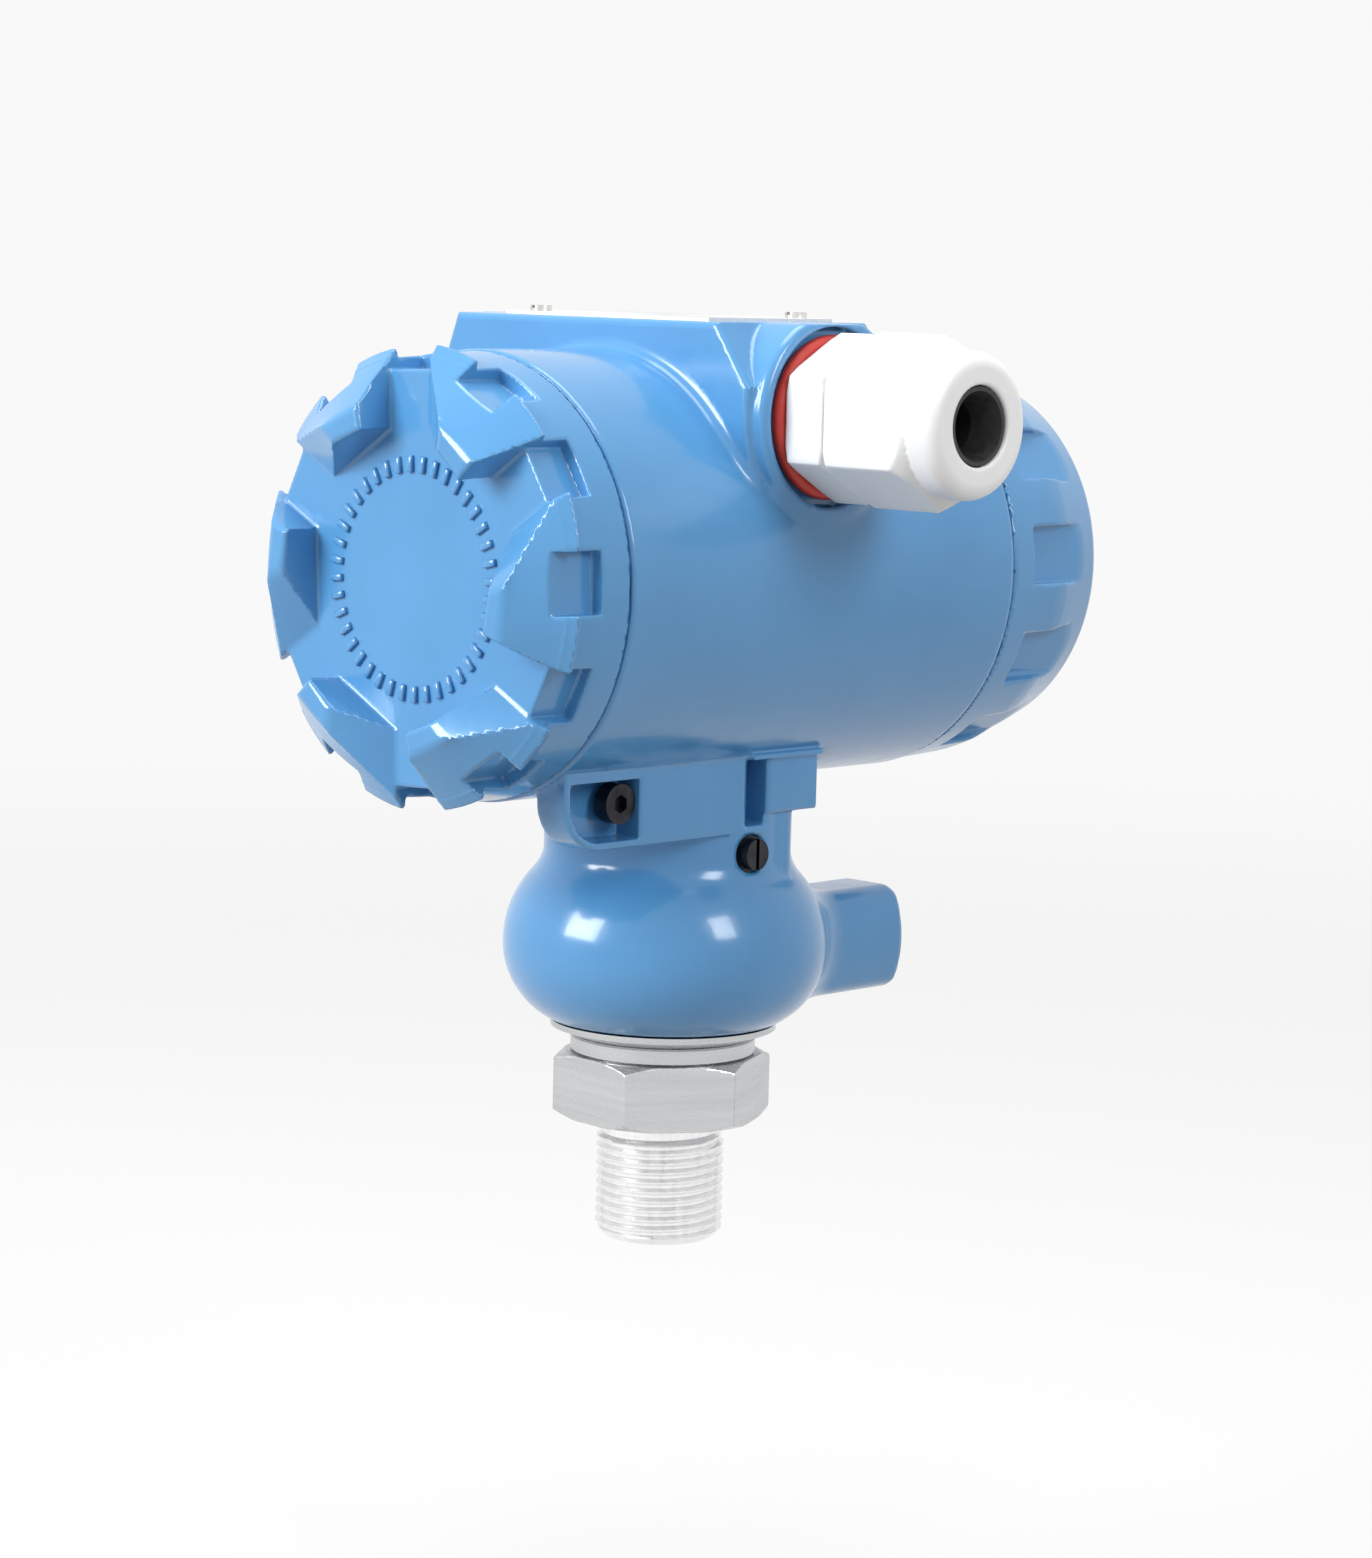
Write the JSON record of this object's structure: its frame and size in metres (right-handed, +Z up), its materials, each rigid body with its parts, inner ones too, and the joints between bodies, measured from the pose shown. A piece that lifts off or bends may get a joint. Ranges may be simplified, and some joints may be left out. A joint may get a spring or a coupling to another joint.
{
  "type": "pressure transmitter",
  "caption": "Pressure transmitter: two-chamber barrel housing with screwed covers, side cable gland, bracket arm and hexagon process connector with a male thread.",
  "frame": {"origin": "on the process axis, on the seat under the connector's hexagon, where the process thread starts", "axes": "+Z up along the process axis; the front cover faces -Y and the cable gland faces +X"},
  "size_m": [0.1052, 0.1293, 0.1449],
  "materials": {
    "enamel": "glossy blue enamel on a die casting",
    "steel": "turned stainless steel",
    "bright_steel": "bright plated",
    "black_steel": "black oxide",
    "nylon": "white nylon, satin",
    "black_rubber": "matt",
    "red_rubber": "matt",
    "plate": "satin, bare",
    "lead_sleeve": "matt",
    "board": "satin",
    "terminal_plastic": "satin",
    "brass": "bright"
  },
  "bodies": {
    "housing": {"housing": "enamel", "gland_body": "nylon", "gland_ring": "red_rubber", "nameplate": "plate", "plate_screw_front": "bright_steel", "plate_screw_rear": "bright_steel", "lock_screw": "black_steel", "earth_washer": "black_steel", "earth_screw": "black_steel", "process_connector": "steel", "sensor_collar": "steel", "capsule_seal": "black_rubber", "sensor_capsule": "steel", "capsule_retainer": "steel", "sensor_leads": "lead_sleeve", "lead_plug": "terminal_plastic", "circuit_board": "board", "terminal_block": "terminal_plastic", "inner_earth_screw": "brass", "board_post_1": "brass", "board_post_2": "brass", "board_post_3": "brass", "board_screw_1": "bright_steel", "board_screw_2": "bright_steel", "board_screw_3": "bright_steel", "terminal_plate_1": "brass", "terminal_plate_2": "brass", "terminal_plate_3": "brass", "terminal_screw_1": "bright_steel", "terminal_screw_2": "bright_steel", "terminal_screw_3": "bright_steel", "fixing_screw_left": "bright_steel", "fixing_screw_right": "bright_steel"},
    "front_seal": {"front_cover_seal": "black_rubber"},
    "front_cover": {"front_cover": "enamel"},
    "rear_seal": {"rear_cover_seal": "black_rubber"},
    "rear_cover": {"rear_cover": "enamel"},
    "gland_insert": {"gland_seal": "black_rubber", "gland_claw": "nylon"},
    "gland_nut": {"gland_nut": "nylon"},
    "plug_ring": {"plug_ring": "red_rubber"},
    "plug": {"blanking_plug": "steel"}
  },
  "joints": [
    {"name": "front_cover_travel", "type": "slide", "parent": "housing", "child": "front_seal", "axis": [0, -1, 0], "range_m": [0, 0.008]},
    {"name": "front_cover_turn", "type": "hinge", "parent": "front_seal", "child": "front_cover", "pos_m": [0, -0.042, 0.0862], "axis": [0, -1, 0], "range_deg": [0, 1440]},
    {"name": "rear_cover_travel", "type": "slide", "parent": "housing", "child": "rear_seal", "axis": [0, 1, 0], "range_m": [0, 0.008]},
    {"name": "rear_cover_turn", "type": "hinge", "parent": "rear_seal", "child": "rear_cover", "pos_m": [0, 0.042, 0.0862], "axis": [0, 1, 0], "range_deg": [0, 1440]},
    {"name": "gland_nut_travel", "type": "slide", "parent": "housing", "child": "gland_insert", "axis": [1, 0, 0], "range_m": [0, 0.006]},
    {"name": "gland_nut_turn", "type": "hinge", "parent": "gland_insert", "child": "gland_nut", "pos_m": [0.041, 0, 0.1106], "axis": [1, 0, 0], "range_deg": [0, 1440]},
    {"name": "plug_travel", "type": "slide", "parent": "housing", "child": "plug_ring", "axis": [-1, 0, 0], "range_m": [0, 0.0075]},
    {"name": "plug_turn", "type": "hinge", "parent": "plug_ring", "child": "plug", "pos_m": [-0.0386, 0, 0.1106], "axis": [-1, 0, 0], "range_deg": [0, 1800]}
  ],
  "couplings": [
    {"joint": "front_cover_travel", "follows": "front_cover_turn", "m_per_rad": 0.0003183},
    {"joint": "rear_cover_travel", "follows": "rear_cover_turn", "m_per_rad": 0.0003183},
    {"joint": "gland_nut_travel", "follows": "gland_nut_turn", "m_per_rad": 0.00023873},
    {"joint": "plug_travel", "follows": "plug_turn", "m_per_rad": 0.00023873}
  ]
}
